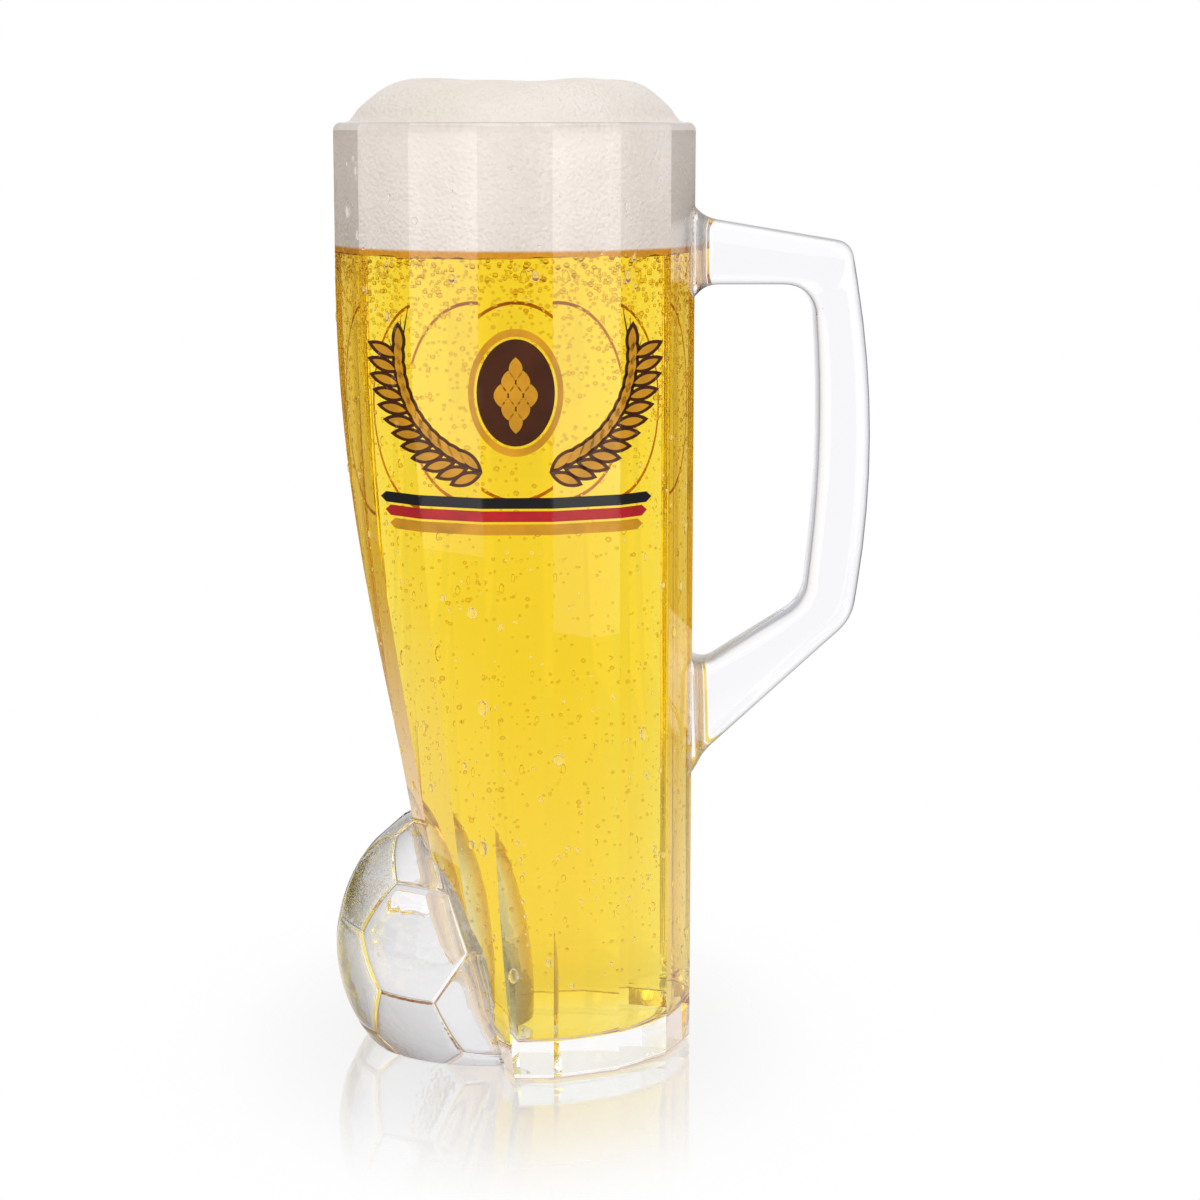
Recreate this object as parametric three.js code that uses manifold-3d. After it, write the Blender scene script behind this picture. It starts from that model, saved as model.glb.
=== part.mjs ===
// Half-litre pressed-glass beer mug with a football fused into its foot, filled with beer and foam.
// Millimetres, +Z up. The handle points along +X, the football along -X, the front faces -Y.
// The origin is on the floor, on the axis of the mug's round mouth.
import * as THREE from "three";
import { mergeVertices } from "three/addons/utils/BufferGeometryUtils.js";
import Module from "manifold-3d";

const wasm = await Module();
wasm.setup();

// Mug body
const MUG_HEIGHT = 205;
const RIM_RADIUS = 40;
const FOOT_RADIUS = 39.4;
const PANELS = 16;
const WALL = 3.6;
const BASE_THICKNESS = 7;
const HEEL_RADIUS = 1.6;
const FLOOR_FILLET = 5;

// Flank on the football's side: round above, narrowing to a prow at the foot
const FLANK_TOP = 172;
const FLANK_HOLD = 50;
const WAIST_HEIGHT = 55;
const WAIST_REACH = 24.5;
const WAIST_SLOPE = 0.165;
const WAIST_LEAD_ABOVE = 30;
const WAIST_LEAD_BELOW = 20;
const PROW_REACH = 4.5;
const PROW_SLOPE = 0.45;
const PROW_LEAD = 12;

// Swelling of solid glass behind the football, on the inside of the mug
const SWELL_TIP = 4;
const SWELL_RADIUS = 28;
const SWELL_RISE = 47;
const SWELL_HEIGHT = 12;

// Football
const BALL_RADIUS = 34.6;
const BALL_OFFSET = 6.5;
const BALL_HEIGHT = 21.3;
const SEAM_WIDTH = 1.6;
const SEAM_DEPTH = 0.5;
const HEXAGON_FACING = new THREE.Vector3(-0.51, -0.836, 0.202);
const PENTAGON_SIDE = new THREE.Vector3(-0.712, -0.592, 0.377);

// Handle
const HANDLE_THICKNESS = 15;
const HANDLE_EDGE = 3;
const HANDLE_REACH = 78.3;
const GRIP_DEPTH = 11.6;
const GRIP_BOW = 3.4;
const UPPER_ARM_TOP = 184.4;
const UPPER_ARM_DROP = 5.4;
const UPPER_ARM_UNDERSIDE = 169.8;
const LOWER_CORNER = 95.5;
const LOWER_ARM_FALL = 30;
const LOWER_ARM_OVER = 99.2;
const LOWER_ARM_SLOPE = 0.565;
const CORNER_SETBACK = 4.6;
const HOLE_SETBACK = 4;
const HOLE_LEAN = 2.6;
const GRIP_LIFT = 4;
const ROOT_FILLET = 3;

// Rounding of the handle's outline, measured along each side of a corner
const TOP_CORNER_ROUND = 3.2;
const GRIP_ROUND = 34;
const LOW_CORNER_ROUND = 4;
const HOLE_LOW_ROUND = 4.5;
const HOLE_GRIP_ROUND = 27;
const HOLE_TOP_ROUND = 7;

// Drink
const BEER_LEVEL = 178;
const DOME_RISE = 9;
const DOME_SHOULDER = 25;
const SEAM_GAP = 0.3;

const panelFactor = Math.cos(Math.PI / PANELS);

function solid(geometry) {
  const plain = new THREE.BufferGeometry();
  plain.setAttribute("position", geometry.getAttribute("position").clone());
  if (geometry.index) plain.setIndex(geometry.index.clone());
  const merged = mergeVertices(plain, 1e-4);
  const mesh = new wasm.Mesh({
    numProp: 3,
    vertProperties: new Float32Array(merged.getAttribute("position").array),
    triVerts: new Uint32Array(merged.index.array),
  });
  return new wasm.Manifold(mesh);
}

function meshOf(name, shape, material) {
  const result = shape.getMesh();
  const geometry = new THREE.BufferGeometry();
  geometry.setAttribute("position", new THREE.BufferAttribute(result.vertProperties, 3));
  geometry.setIndex(new THREE.BufferAttribute(result.triVerts, 1));
  geometry.computeVertexNormals();
  const mesh = new THREE.Mesh(geometry, material);
  mesh.name = name;
  return mesh;
}

// Closed skin through a stack of rings that run counterclockwise and climb in Z
function loft(rings) {
  const count = rings[0].length;
  const positions = rings.flat().flatMap((point) => point.toArray());
  const index = [];
  for (let level = 0; level + 1 < rings.length; level += 1) {
    for (let i = 0; i < count; i += 1) {
      const a = level * count + i;
      const b = level * count + ((i + 1) % count);
      index.push(a, b, b + count, a, b + count, a + count);
    }
  }
  const top = (rings.length - 1) * count;
  const flat = (ring) => ring.map((point) => new THREE.Vector2(point.x, point.y));
  for (const [a, b, c] of THREE.ShapeUtils.triangulateShape(flat(rings[0]), [])) {
    index.push(a, c, b);
  }
  for (const [a, b, c] of THREE.ShapeUtils.triangulateShape(flat(rings.at(-1)), [])) {
    index.push(top + a, top + b, top + c);
  }
  const geometry = new THREE.BufferGeometry();
  geometry.setAttribute("position", new THREE.Float32BufferAttribute(positions, 3));
  geometry.setIndex(index);
  return geometry;
}

const roundRadius = (z) => THREE.MathUtils.lerp(FOOT_RADIUS, RIM_RADIUS, z / MUG_HEIGHT);

const upperFlank = new THREE.CubicBezierCurve(
  new THREE.Vector2(roundRadius(FLANK_TOP), FLANK_TOP),
  new THREE.Vector2(roundRadius(FLANK_TOP), FLANK_TOP - FLANK_HOLD),
  new THREE.Vector2(WAIST_REACH + WAIST_SLOPE * WAIST_LEAD_ABOVE, WAIST_HEIGHT + WAIST_LEAD_ABOVE),
  new THREE.Vector2(WAIST_REACH, WAIST_HEIGHT),
);
const lowerFlank = new THREE.CubicBezierCurve(
  new THREE.Vector2(WAIST_REACH, WAIST_HEIGHT),
  new THREE.Vector2(WAIST_REACH - WAIST_SLOPE * WAIST_LEAD_BELOW, WAIST_HEIGHT - WAIST_LEAD_BELOW),
  new THREE.Vector2(PROW_REACH + PROW_SLOPE * PROW_LEAD, PROW_LEAD),
  new THREE.Vector2(PROW_REACH, 0),
);

// How far the flank stands out from the mouth's axis at a height
function flankReach(z) {
  if (z >= FLANK_TOP) return roundRadius(z);
  const curve = z > WAIST_HEIGHT ? upperFlank : lowerFlank;
  let low = 0;
  let high = 1;
  for (let step = 0; step < 40; step += 1) {
    const middle = (low + high) / 2;
    if (curve.getPoint(middle).y > z) low = middle;
    else high = middle;
  }
  return curve.getPoint(low).x;
}

// Flat-panelled outside of the mug at a height, drawn in by an inset
function outerRing(z, inset, atHeight = z) {
  const ring = [];
  for (let i = 0; i < PANELS; i += 1) {
    const angle = ((i + 0.5) * 2 * Math.PI) / PANELS;
    const radius = roundRadius(z) - inset;
    const reach = Math.cos(angle) > 0 ? radius : flankReach(z) - inset;
    ring.push(new THREE.Vector3(reach * Math.cos(angle), radius * Math.sin(angle), atHeight));
  }
  return ring;
}

// Smooth round inside of the mug at a height, drawn in by an inset
function innerRing(z, inset, atHeight = z) {
  const ring = [];
  const segments = 48;
  for (let i = 0; i < segments; i += 1) {
    const angle = (i * 2 * Math.PI) / segments;
    const radius = roundRadius(z) * panelFactor - WALL - inset;
    const flank = flankReach(z) * panelFactor - WALL - inset;
    const reach = Math.cos(angle) > 0 ? radius : flank;
    ring.push(new THREE.Vector3(reach * Math.cos(angle), radius * Math.sin(angle), atHeight));
  }
  return ring;
}

function heights(from, to, count) {
  return Array.from({ length: count + 1 }, (_, i) => THREE.MathUtils.lerp(from, to, i / count));
}

function outerSolid(grow) {
  const lip = WALL / 2;
  const rings = [];
  for (const t of [0, 0.5, 1]) {
    const turn = (t * Math.PI) / 2;
    const height = HEEL_RADIUS * (1 - Math.sin(turn));
    rings.unshift(outerRing(height, HEEL_RADIUS * (1 - Math.cos(turn)) - grow));
  }
  for (const z of heights(HEEL_RADIUS, WAIST_HEIGHT, 9).slice(1)) rings.push(outerRing(z, -grow));
  for (const z of heights(WAIST_HEIGHT, FLANK_TOP, 11).slice(1)) rings.push(outerRing(z, -grow));
  for (const t of [0, 0.4, 0.75, 1]) {
    const turn = (t * Math.PI) / 2;
    const height = MUG_HEIGHT - lip * (1 - Math.sin(turn));
    rings.push(outerRing(height, lip * (1 - Math.cos(turn)) - grow));
  }
  if (grow > 0) rings.unshift(outerRing(0, HEEL_RADIUS - grow, -5));
  return solid(loft(rings));
}

function swelling(grow) {
  const sphere = new THREE.SphereGeometry(1, 40, 28);
  sphere.rotateX(Math.PI / 2);
  sphere.scale(SWELL_RADIUS + grow, SWELL_RADIUS + grow, SWELL_RISE + grow);
  sphere.translate(SWELL_TIP - SWELL_RADIUS, 0, SWELL_HEIGHT);
  return solid(sphere);
}

// Room inside the mug between its floor and a height, drawn in by an inset
function hollow(inset, top, flare) {
  const rings = [];
  const floor = BASE_THICKNESS + inset;
  for (const t of [0, 0.35, 0.65, 1]) {
    const turn = (t * Math.PI) / 2;
    const height = floor + FLOOR_FILLET * (1 - Math.cos(turn));
    rings.push(innerRing(height, inset + FLOOR_FILLET * (1 - Math.sin(turn))));
  }
  for (const z of heights(floor + FLOOR_FILLET, WAIST_HEIGHT, 6).slice(1)) rings.push(innerRing(z, inset));
  for (const z of heights(WAIST_HEIGHT, FLANK_TOP, 9).slice(1)) rings.push(innerRing(z, inset));
  if (flare) {
    const lip = WALL / 2;
    for (const t of [0, 0.4, 0.75, 1]) {
      const turn = (t * Math.PI) / 2;
      rings.push(innerRing(MUG_HEIGHT - lip * (1 - Math.sin(turn)), inset - lip * (1 - Math.cos(turn))));
    }
    rings.push(innerRing(MUG_HEIGHT, inset - lip, MUG_HEIGHT + 5));
  } else {
    rings.push(innerRing(top, inset));
  }
  return solid(loft(rings)).subtract(swelling(inset));
}

const sumOf = (points) => points.reduce((sum, point) => sum.add(point), new THREE.Vector3());
const third = (a, b) => a.clone().multiplyScalar(2).add(b).normalize();

// Corner directions of a ball's twenty six-sided and twelve five-sided panels
function footballPanels() {
  const plain = new THREE.IcosahedronGeometry(1, 0).deleteAttribute("normal").deleteAttribute("uv");
  const base = mergeVertices(plain);
  const position = base.getAttribute("position");
  const corners = [];
  for (let i = 0; i < position.count; i += 1) {
    corners.push(new THREE.Vector3().fromBufferAttribute(position, i));
  }
  const panels = [];
  for (let i = 0; i < base.index.count; i += 3) {
    const [a, b, c] = [0, 1, 2].map((k) => corners[base.index.getX(i + k)]);
    const sides = [[a, b], [b, c], [c, a]];
    panels.push(sides.flatMap(([p, q]) => [third(p, q), third(q, p)]));
  }
  for (const corner of corners) {
    const ring = corners.filter((p) => p !== corner && p.distanceTo(corner) < corner.length() * 1.2);
    const side = ring[0].clone().cross(corner).normalize();
    const other = corner.clone().cross(side);
    const around = (p) => Math.atan2(p.dot(other), p.dot(side));
    panels.push(ring.sort((p, q) => around(p) - around(q)).map((p) => third(corner, p)));
  }
  return panels;
}

// Triangles of one panel, with half a groove along each of its seams
function panelTriangles(panel) {
  const middle = sumOf(panel).normalize();
  const border = panel.flatMap((p, i) => {
    const next = panel[(i + 1) % panel.length];
    return [0, 1, 2].map((k) => p.clone().lerp(next, k / 3).normalize());
  });
  const share = SEAM_WIDTH / 2 / BALL_RADIUS / panel[0].angleTo(middle);
  const rings = [border.map((p) => p.clone().multiplyScalar(BALL_RADIUS - SEAM_DEPTH))];
  for (const step of [share, 0.5]) {
    rings.push(border.map((p) => p.clone().lerp(middle, step).setLength(BALL_RADIUS)));
  }
  const centre = middle.clone().multiplyScalar(BALL_RADIUS);
  return border.flatMap((_, i) => {
    const j = (i + 1) % border.length;
    const [deep, edge, inner] = rings;
    const groove = [deep[i], deep[j], edge[j], deep[i], edge[j], edge[i]];
    const face = [edge[i], edge[j], inner[j], edge[i], inner[j], inner[i]];
    return [...groove, ...face, inner[i], inner[j], centre];
  });
}

function footballGeometry() {
  const panels = footballPanels();
  const geometry = new THREE.BufferGeometry().setFromPoints(panels.flatMap(panelTriangles));
  const origin = new THREE.Vector3();
  const first = panels[0];
  const from = new THREE.Matrix4().lookAt(sumOf(first), origin, first[0].clone().add(first[5]));
  const to = new THREE.Matrix4().lookAt(HEXAGON_FACING, origin, PENTAGON_SIDE);
  geometry.applyMatrix4(from.invert());
  geometry.applyMatrix4(to);
  geometry.translate(-BALL_OFFSET, 0, BALL_HEIGHT);
  return geometry;
}

function block(x0, x1, y0, y1, z0, z1) {
  const box = new THREE.BoxGeometry(x1 - x0, y1 - y0, z1 - z0);
  box.translate((x0 + x1) / 2, (y0 + y1) / 2, (z0 + z1) / 2);
  return solid(box);
}

// Outline from corners of the form x, z, length of the rounding on each side
function roundedShape(points) {
  const shape = new THREE.Shape();
  points.forEach(([x, z, round], i) => {
    const corner = new THREE.Vector2(x, z);
    const before = new THREE.Vector2(...points.at(i - 1).slice(0, 2));
    const after = new THREE.Vector2(...points[(i + 1) % points.length].slice(0, 2));
    const start = corner.clone().add(before.sub(corner).setLength(round));
    const end = corner.clone().add(after.sub(corner).setLength(round));
    if (i === 0) shape.moveTo(start.x, start.y);
    else shape.lineTo(start.x, start.y);
    if (round > 0) shape.quadraticCurveTo(x, z, end.x, end.y);
  });
  return shape;
}

function handleSolid() {
  const root = roundRadius(UPPER_ARM_TOP) * panelFactor;
  const outerX = HANDLE_REACH + GRIP_BOW * 0.8;
  const innerX = HANDLE_REACH - GRIP_DEPTH + GRIP_BOW * 0.4;
  const cornerX = HANDLE_REACH - CORNER_SETBACK;
  const holeX = innerX - HOLE_SETBACK;
  const middle = (UPPER_ARM_UNDERSIDE + LOWER_CORNER) / 2 + GRIP_LIFT;
  const armRoot = LOWER_CORNER - LOWER_ARM_FALL;
  const overRoot = LOWER_ARM_OVER - (holeX - root) * LOWER_ARM_SLOPE;
  const inside = root - 3 * ROOT_FILLET;
  const foot = root + 0.8 * ROOT_FILLET;
  const shape = roundedShape([
    [inside, UPPER_ARM_TOP + 3 * ROOT_FILLET, 0],
    [foot, UPPER_ARM_TOP, ROOT_FILLET],
    [cornerX, UPPER_ARM_TOP - UPPER_ARM_DROP, TOP_CORNER_ROUND],
    [outerX, middle, GRIP_ROUND],
    [cornerX + 1, LOWER_CORNER, LOW_CORNER_ROUND],
    [foot, armRoot, ROOT_FILLET],
    [inside, armRoot - 5 * ROOT_FILLET, 0],
    [inside, overRoot + 2 * ROOT_FILLET, 0],
    [foot, overRoot, ROOT_FILLET],
    [holeX, LOWER_ARM_OVER, HOLE_LOW_ROUND],
    [innerX, middle, HOLE_GRIP_ROUND],
    [innerX - HOLE_LEAN, UPPER_ARM_UNDERSIDE, HOLE_TOP_ROUND],
    [foot, UPPER_ARM_UNDERSIDE, ROOT_FILLET],
    [inside, UPPER_ARM_UNDERSIDE - 3 * ROOT_FILLET, 0],
  ]);
  const geometry = new THREE.ExtrudeGeometry(shape, {
    depth: HANDLE_THICKNESS - 2 * HANDLE_EDGE,
    bevelThickness: HANDLE_EDGE,
    bevelSize: HANDLE_EDGE,
    bevelOffset: -HANDLE_EDGE,
    bevelSegments: 3,
    curveSegments: 5,
  });
  geometry.translate(0, 0, HANDLE_EDGE - HANDLE_THICKNESS / 2);
  geometry.rotateX(Math.PI / 2);
  return solid(geometry).subtract(outerSolid(SEAM_GAP));
}

function foamSolid() {
  const bottom = BEER_LEVEL + SEAM_GAP;
  const lip = WALL / 2;
  const rings = [];
  for (const z of heights(bottom, MUG_HEIGHT - lip, 3)) rings.push(innerRing(z, SEAM_GAP));
  for (const t of [0.4, 0.75]) {
    const turn = (t * Math.PI) / 2;
    const height = MUG_HEIGHT - lip * (1 - Math.sin(turn));
    rings.push(innerRing(height, SEAM_GAP - lip * (1 - Math.cos(turn))));
  }
  const foot = roundRadius(MUG_HEIGHT) * panelFactor - WALL + lip * 0.6;
  const profile = new THREE.SplineCurve([
    new THREE.Vector2(foot, 0.4),
    new THREE.Vector2(foot * 0.9, DOME_RISE * 0.22),
    new THREE.Vector2(DOME_SHOULDER + 4, DOME_RISE * 0.7),
    new THREE.Vector2(DOME_SHOULDER - 2, DOME_RISE * 0.97),
    new THREE.Vector2(DOME_SHOULDER * 0.5, DOME_RISE),
    new THREE.Vector2(2, DOME_RISE * 0.9),
  ]);
  const rimInside = roundRadius(MUG_HEIGHT) * panelFactor - WALL;
  for (const point of profile.getPoints(12)) {
    rings.push(innerRing(MUG_HEIGHT, rimInside - point.x, MUG_HEIGHT + point.y));
  }
  return solid(loft(rings));
}

function material(name, color, roughness, opacity) {
  const made = new THREE.MeshStandardMaterial({ color, roughness, metalness: 0 });
  made.name = name;
  made.opacity = opacity;
  made.transparent = opacity < 1;
  return made;
}

const glass = material("clear_glass", 0xe6efec, 0.05, 0.35);
const amber = material("beer", 0xe0a21c, 0.1, 0.8);
const froth = material("foam", 0xf2ece2, 0.8, 1);

const outside = outerSolid(0);
const body = outside.subtract(hollow(0, MUG_HEIGHT, true));
const ball = solid(footballGeometry())
  .intersect(block(-90, 90, -90, 90, 0, 120))
  .subtract(outerSolid(SEAM_GAP));
const beer = hollow(SEAM_GAP, BEER_LEVEL, false);

const mug = new THREE.Group();
mug.name = "beer_mug";
mug.add(meshOf("mug_body", body, glass));
mug.add(meshOf("handle", handleSolid(), glass));
mug.add(meshOf("football", ball, glass));
mug.add(meshOf("beer", beer, amber));
mug.add(meshOf("foam_head", foamSolid(), froth));

export default mug;
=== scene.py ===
"""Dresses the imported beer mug: clear glass, beer, foam, enamel print, dew and bubbles, on a pale stage."""

import math

import bmesh
import bpy
import numpy as np
from bpy.props import FloatProperty, FloatVectorProperty, IntProperty, PointerProperty
from mathutils import Matrix, Vector


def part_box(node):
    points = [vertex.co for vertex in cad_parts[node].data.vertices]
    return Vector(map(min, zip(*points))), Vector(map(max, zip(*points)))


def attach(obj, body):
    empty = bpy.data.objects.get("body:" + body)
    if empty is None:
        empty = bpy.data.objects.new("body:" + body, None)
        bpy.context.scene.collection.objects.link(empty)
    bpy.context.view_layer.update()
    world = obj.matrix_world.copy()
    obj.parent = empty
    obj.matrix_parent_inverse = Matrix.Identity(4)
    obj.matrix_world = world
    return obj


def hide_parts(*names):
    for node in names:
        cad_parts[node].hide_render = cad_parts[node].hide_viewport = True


bl_info = {
    "name": "Football beer mug",
    "version": (1, 0, 0),
    "blender": (4, 5, 0),
    "location": "View3D > Sidebar > Beer mug",
    "description": "Builds a filled glass beer mug with a football in its foot around its packed solids",
    "category": "Object",
}

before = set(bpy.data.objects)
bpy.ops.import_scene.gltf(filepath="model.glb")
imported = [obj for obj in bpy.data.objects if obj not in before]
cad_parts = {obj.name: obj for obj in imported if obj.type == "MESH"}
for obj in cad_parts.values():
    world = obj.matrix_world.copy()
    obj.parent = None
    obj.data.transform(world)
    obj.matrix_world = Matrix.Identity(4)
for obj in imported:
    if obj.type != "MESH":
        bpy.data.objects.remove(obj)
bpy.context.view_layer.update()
MUG_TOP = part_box("mug_body")[1][2]
FOAM_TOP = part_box("foam_head")[1][2]

# Sizes below are in millimetres, as in the part's source; meshes are made in metres
MM = 0.001
PANELS = 16
PANEL_FACTOR = math.cos(math.pi / PANELS)
HEEL_RADIUS = 1.6
FLOOR_FILLET = 5.0

# A face whose normal points down more steeply than this belongs to the flat underside
FLAT_BELOW = -0.99

# Flank over the football: round above, narrowing to a prow at the foot
FLANK_TOP = 172.0
FLANK_HOLD = 50.0
WAIST_HEIGHT = 55.0
WAIST_REACH = 24.5
WAIST_SLOPE = 0.165
WAIST_LEAD_ABOVE = 30.0
WAIST_LEAD_BELOW = 20.0
PROW_REACH = 4.5
PROW_SLOPE = 0.45
PROW_LEAD = 12.0

# Swelling of solid glass behind the football
SWELL_CENTRE = (-24.0, 0.0, 12.0)
SWELL_RADIUS = 28.0
SWELL_RISE = 47.0

# Football: which way a six-sided panel faces, and where the next five-sided one lies
HEXAGON_FACING = (-0.51, -0.836, 0.202)
PENTAGON_SIDE = (-0.712, -0.592, 0.377)
SEAM_HALF = 0.75
SEAM_WELD = 0.02

# Steps along a panel's side, and rows inwards from the seam, counted in halves of its width
PANEL_SIDE_STEPS = 14
PANEL_ROWS = (0, 0.25, 0.5, 0.75, 1, 3, 6)

# Handle
HANDLE_EDGE = 3.0
GRIP_DEPTH = 11.6
GRIP_BOW = 3.4
UPPER_ARM_TOP = 184.4
UPPER_ARM_DROP = 5.4
UPPER_ARM_UNDERSIDE = 169.8
LOWER_CORNER = 95.5
LOWER_ARM_FALL = 30.0
LOWER_ARM_OVER = 99.2
LOWER_ARM_SLOPE = 0.565
CORNER_SETBACK = 4.6
HOLE_SETBACK = 4.0
HOLE_LEAN = 2.6
GRIP_LIFT = 4.0
ROOT_FILLET = 3.0
ROOT_FLARE = 2.4
LOW_CORNER_OUT = 1.0

# Shares of the bow at the grip's back and at the hole, of the wall at a root, and of the root's fillet
BACK_BOW = 0.8
HOLE_BOW = 0.4
ROOT_SINK = 0.6
ROOT_STANDOFF = 0.8
ROOT_RISE = 1.6
ROOT_TAIL = 2.4
FLARE_REACH = 0.6

# Rounding of the handle's outline, measured along each side of a corner
TOP_CORNER_ROUND = 3.2
GRIP_ROUND = 34.0
LOW_CORNER_ROUND = 4.0
HOLE_LOW_ROUND = 4.5
HOLE_GRIP_ROUND = 27.0
HOLE_TOP_ROUND = 7.0

# Steps of the meshes: around an edge of the body, along and around the handle, up the walls, over the foam
ROUND_STEPS = 19
CORNER_STEPS = 9
STRAIGHT_STEPS = 12
HANDLE_EDGE_STEPS = 6
OUTER_STEPS = 64
INNER_STEPS = 56
FOAM_WALL_STEPS = 12
FOAM_BRIM_STEPS = 5
FOAM_DOME_STEPS = 41

# Where one piece of glass or drink melts into the next
GLASS_MELT = 0.3
BEER_MELT = 0.2
FOAM_MELT = 0.15

# How strongly glass, beer, dew and gas bend light
GLASS_BEND = 1.5
BEER_BEND = 1.34
DEW_BEND = 1.33
GAS_BEND = 1.06

# Lamplight that is left behind glass and behind beer, the painted amber shade at a bubble's rim, and how
# fast beer deepens
WHITE = (1, 1, 1, 1)
GLASS_SHADE = (0.95, 0.95, 0.96, 1)
BEER_SHADE = (0.97, 0.86, 0.50, 1)
GAS_RIM_SHADE = (0.50, 0.27, 0.04, 1)
BEER_DENSITY = 53.0

# Slant to the eye at which the painted edge shade on glass begins and at which it is darkest; nought faces
# the eye
EDGE_SLANT = (0.15, 0.80)
PANEL_SLANT = (0.36, 0.92)
SWELL_SLANT = (0.12, 0.75)

# Breath of dew on the outside: where it begins below the top of the beer, and over what height it grows
# The painted edge shade on the outside turns there from amber to grey
BREATH_BELOW = 2.0
BREATH_BLEND = 4.0

# Foam: its dome, the band of painted amber shade where it meets the beer, the layer that dips into the beer,
# and the brim over the lip
DOME_SHOULDER = 25.5
DOME_FALL = 1.26 * DOME_SHOULDER
DOME_SOFTNESS = 2.7
DOME_DIMPLE = 0.12
DIMPLE_WIDTH = 0.7 * DOME_SHOULDER
BROAD_HUMP = 0.05
FINE_HUMP = 0.03
FOAM_SHADE_SPAN = (-0.1, 0.7)
WET_FOAM = 0.7
FOAM_SKIRT = 3.4
FOAM_BRIM = math.radians(75)

# Print on the front panels, and the oval on the back
BARS_LOW = 119.0
BARS_HALF = 27.0
BAR_HEIGHT = 2.3
BAR_GAP = 0.5
WREATH_LOW = 131.5
WREATH_WIDTH = 24.5
WREATH_HEIGHT = 31.0
BADGE_HEIGHT = 149.0
BADGE_WIDE = 10.0
BADGE_TALL = 13.4
BADGE_BAND = 0.88
BADGE_FIELD = (0.82, 0.84)
HOP_SCALE = 0.36 * BADGE_TALL
HOP_ROWS = (1, 2, 3, 2, 1)
HOP_TOP = 1.55
HOP_STEP = 0.58
HOP_SPREAD = 0.66
HOP_HALF = 0.3
CREST_HEIGHT = 142.0
CREST_WIDE = 21.0
CREST_TALL = 23.0
CREST_BAND = 0.965

# Barley: grains in pairs along a stem, and long awns at its tip
STEM_RISE = 0.78
STEM_BARE = 0.16
STEM_BEND = 0.9
STEM_TURN = 0.31 * math.pi
GRAIN_PAIRS = 12
GRAIN_SIZE = 0.25 * WREATH_HEIGHT
GRAIN_HALF = 0.2 * GRAIN_SIZE
GRAIN_LEAN = 0.55
HEART_START = 0.16 * GRAIN_SIZE
HEART_SIZE = 0.68 * GRAIN_SIZE
HEART_HALF = 0.11 * GRAIN_SIZE
AWNS = 5
AWN_SIZE = 1.5 * GRAIN_SIZE
AWN_HALF = 0.16
AWN_STEP = 0.06
AWN_UP = math.radians(100)
AWN_FAN = math.radians(9)

# Glass that stays free of drops: round the football, at the roots of the handle and on the print
DRY_BALL = 1.5
DRY_ROOT_FROM = 37.0
DRY_ROOT_HALF = 12.0
DRY_ROOT_SPAN = (54.0, 192.0)
DRY_PRINT_TOP = 165.0

# Drops of dew: heights, shares of a panel's width, sizes as mean and spread of their logarithm, and limits;
# a drop is taller than wide by a little, or by more where it is large enough to run
DROP_SPAN = (14, 198)
DROP_ACROSS = (0.04, 0.96)
DROP_SIZE = (-1.2, 0.55)
DROP_LIMITS = (0.15, 1.2)
DROP_ROUND = 1.15
DROP_RUN = 1.7
DROP_RUNS_FROM = 0.5
DROP_THICK = 0.42

# Bubbles: crowded under the foam or loose, close to the wall, with sizes as for the drops
CROWDED_SHARE = 0.6
CROWDED_DEPTH = 16
CROWDED_SIZE = -0.85
LOOSE_SIZE = -1.05
SIZE_SPREAD = 0.3
BUBBLE_LIMITS = (0.18, 0.7)
BUBBLE_WIDE = 1.1
BUBBLE_TALL = 0.9
BUBBLE_TILT = 0.01
BUBBLE_UNDER_FOAM = 0.4
BUBBLE_OFF_WALL = 0.8
BUBBLE_STRAY = 3.5
BUBBLE_DEEPEST = 16
BUBBLE_LOWEST = 18
BUBBLE_OFF_SWELL = 2
BUBBLE_SPOTS = 180

# Lamps, in metres and watts, and the share of white that lights the mug from all round
LAMP_AIM = (0, 0, 0.11)
SIDE_LAMP = {"wide": 0.62, "high": 1.03, "power": 2.15}
SIDE_LAMP_OUT = 0.54
SIDE_LAMP_FRONT = -0.69
SIDE_LAMP_HEIGHT = 0.30
TOP_LAMP = {"wide": 0.7, "high": 0.7, "power": 2.6}
TOP_LAMP_PLACE = (0, -0.1, 0.95)
ROOM_LIGHT = 0.40
BOUNCES = 40

# Floor, in metres: how far its shadow and its mirror image reach, and how strong they are
FLOOR_HALF = 4.0
FLOOR_DROP = 0.0001
FLOOR_SQUEEZE = (1.7, 1, 1)
SHADOW_SPAN = (0.05, 0.17)
SHADOW_WHITE = (0.94, 1.0)
MIRROR_SPAN = (0.04, 0.125)
MIRROR_SHARE = (0.45, 0.0)

# Dark flags around the stage, in metres and in degrees from the front
FLAG_BEARINGS = (0, -90, 90, -135, 135)
FLAG_FADE = (0.13, 0.55)
FLAG_REACH = 1.3
FLAG_WIDTH = 0.85
FLAG_HEIGHT = 0.24

# Camera, from the photograph's perspective
CAMERA_PLACE = (0.0, -0.699, 0.205)
CAMERA_TILT = math.radians(8.6)
CAMERA_PAN = math.radians(1.53)
CAMERA_LENS = 94.8


def length(name, description, default):
    """A size in metres for the sidebar."""
    return FloatProperty(name=name, description=description, default=default, unit="LENGTH", precision=5)


def count(name, description, default):
    """A number of like things for the sidebar."""
    return IntProperty(name=name, description=description, default=default, min=1)


def colour(name, description, default):
    """A plain colour for the sidebar."""
    return FloatVectorProperty(
        name=name, description=description, default=default, size=3, subtype="COLOR", min=0, max=1
    )


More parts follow.
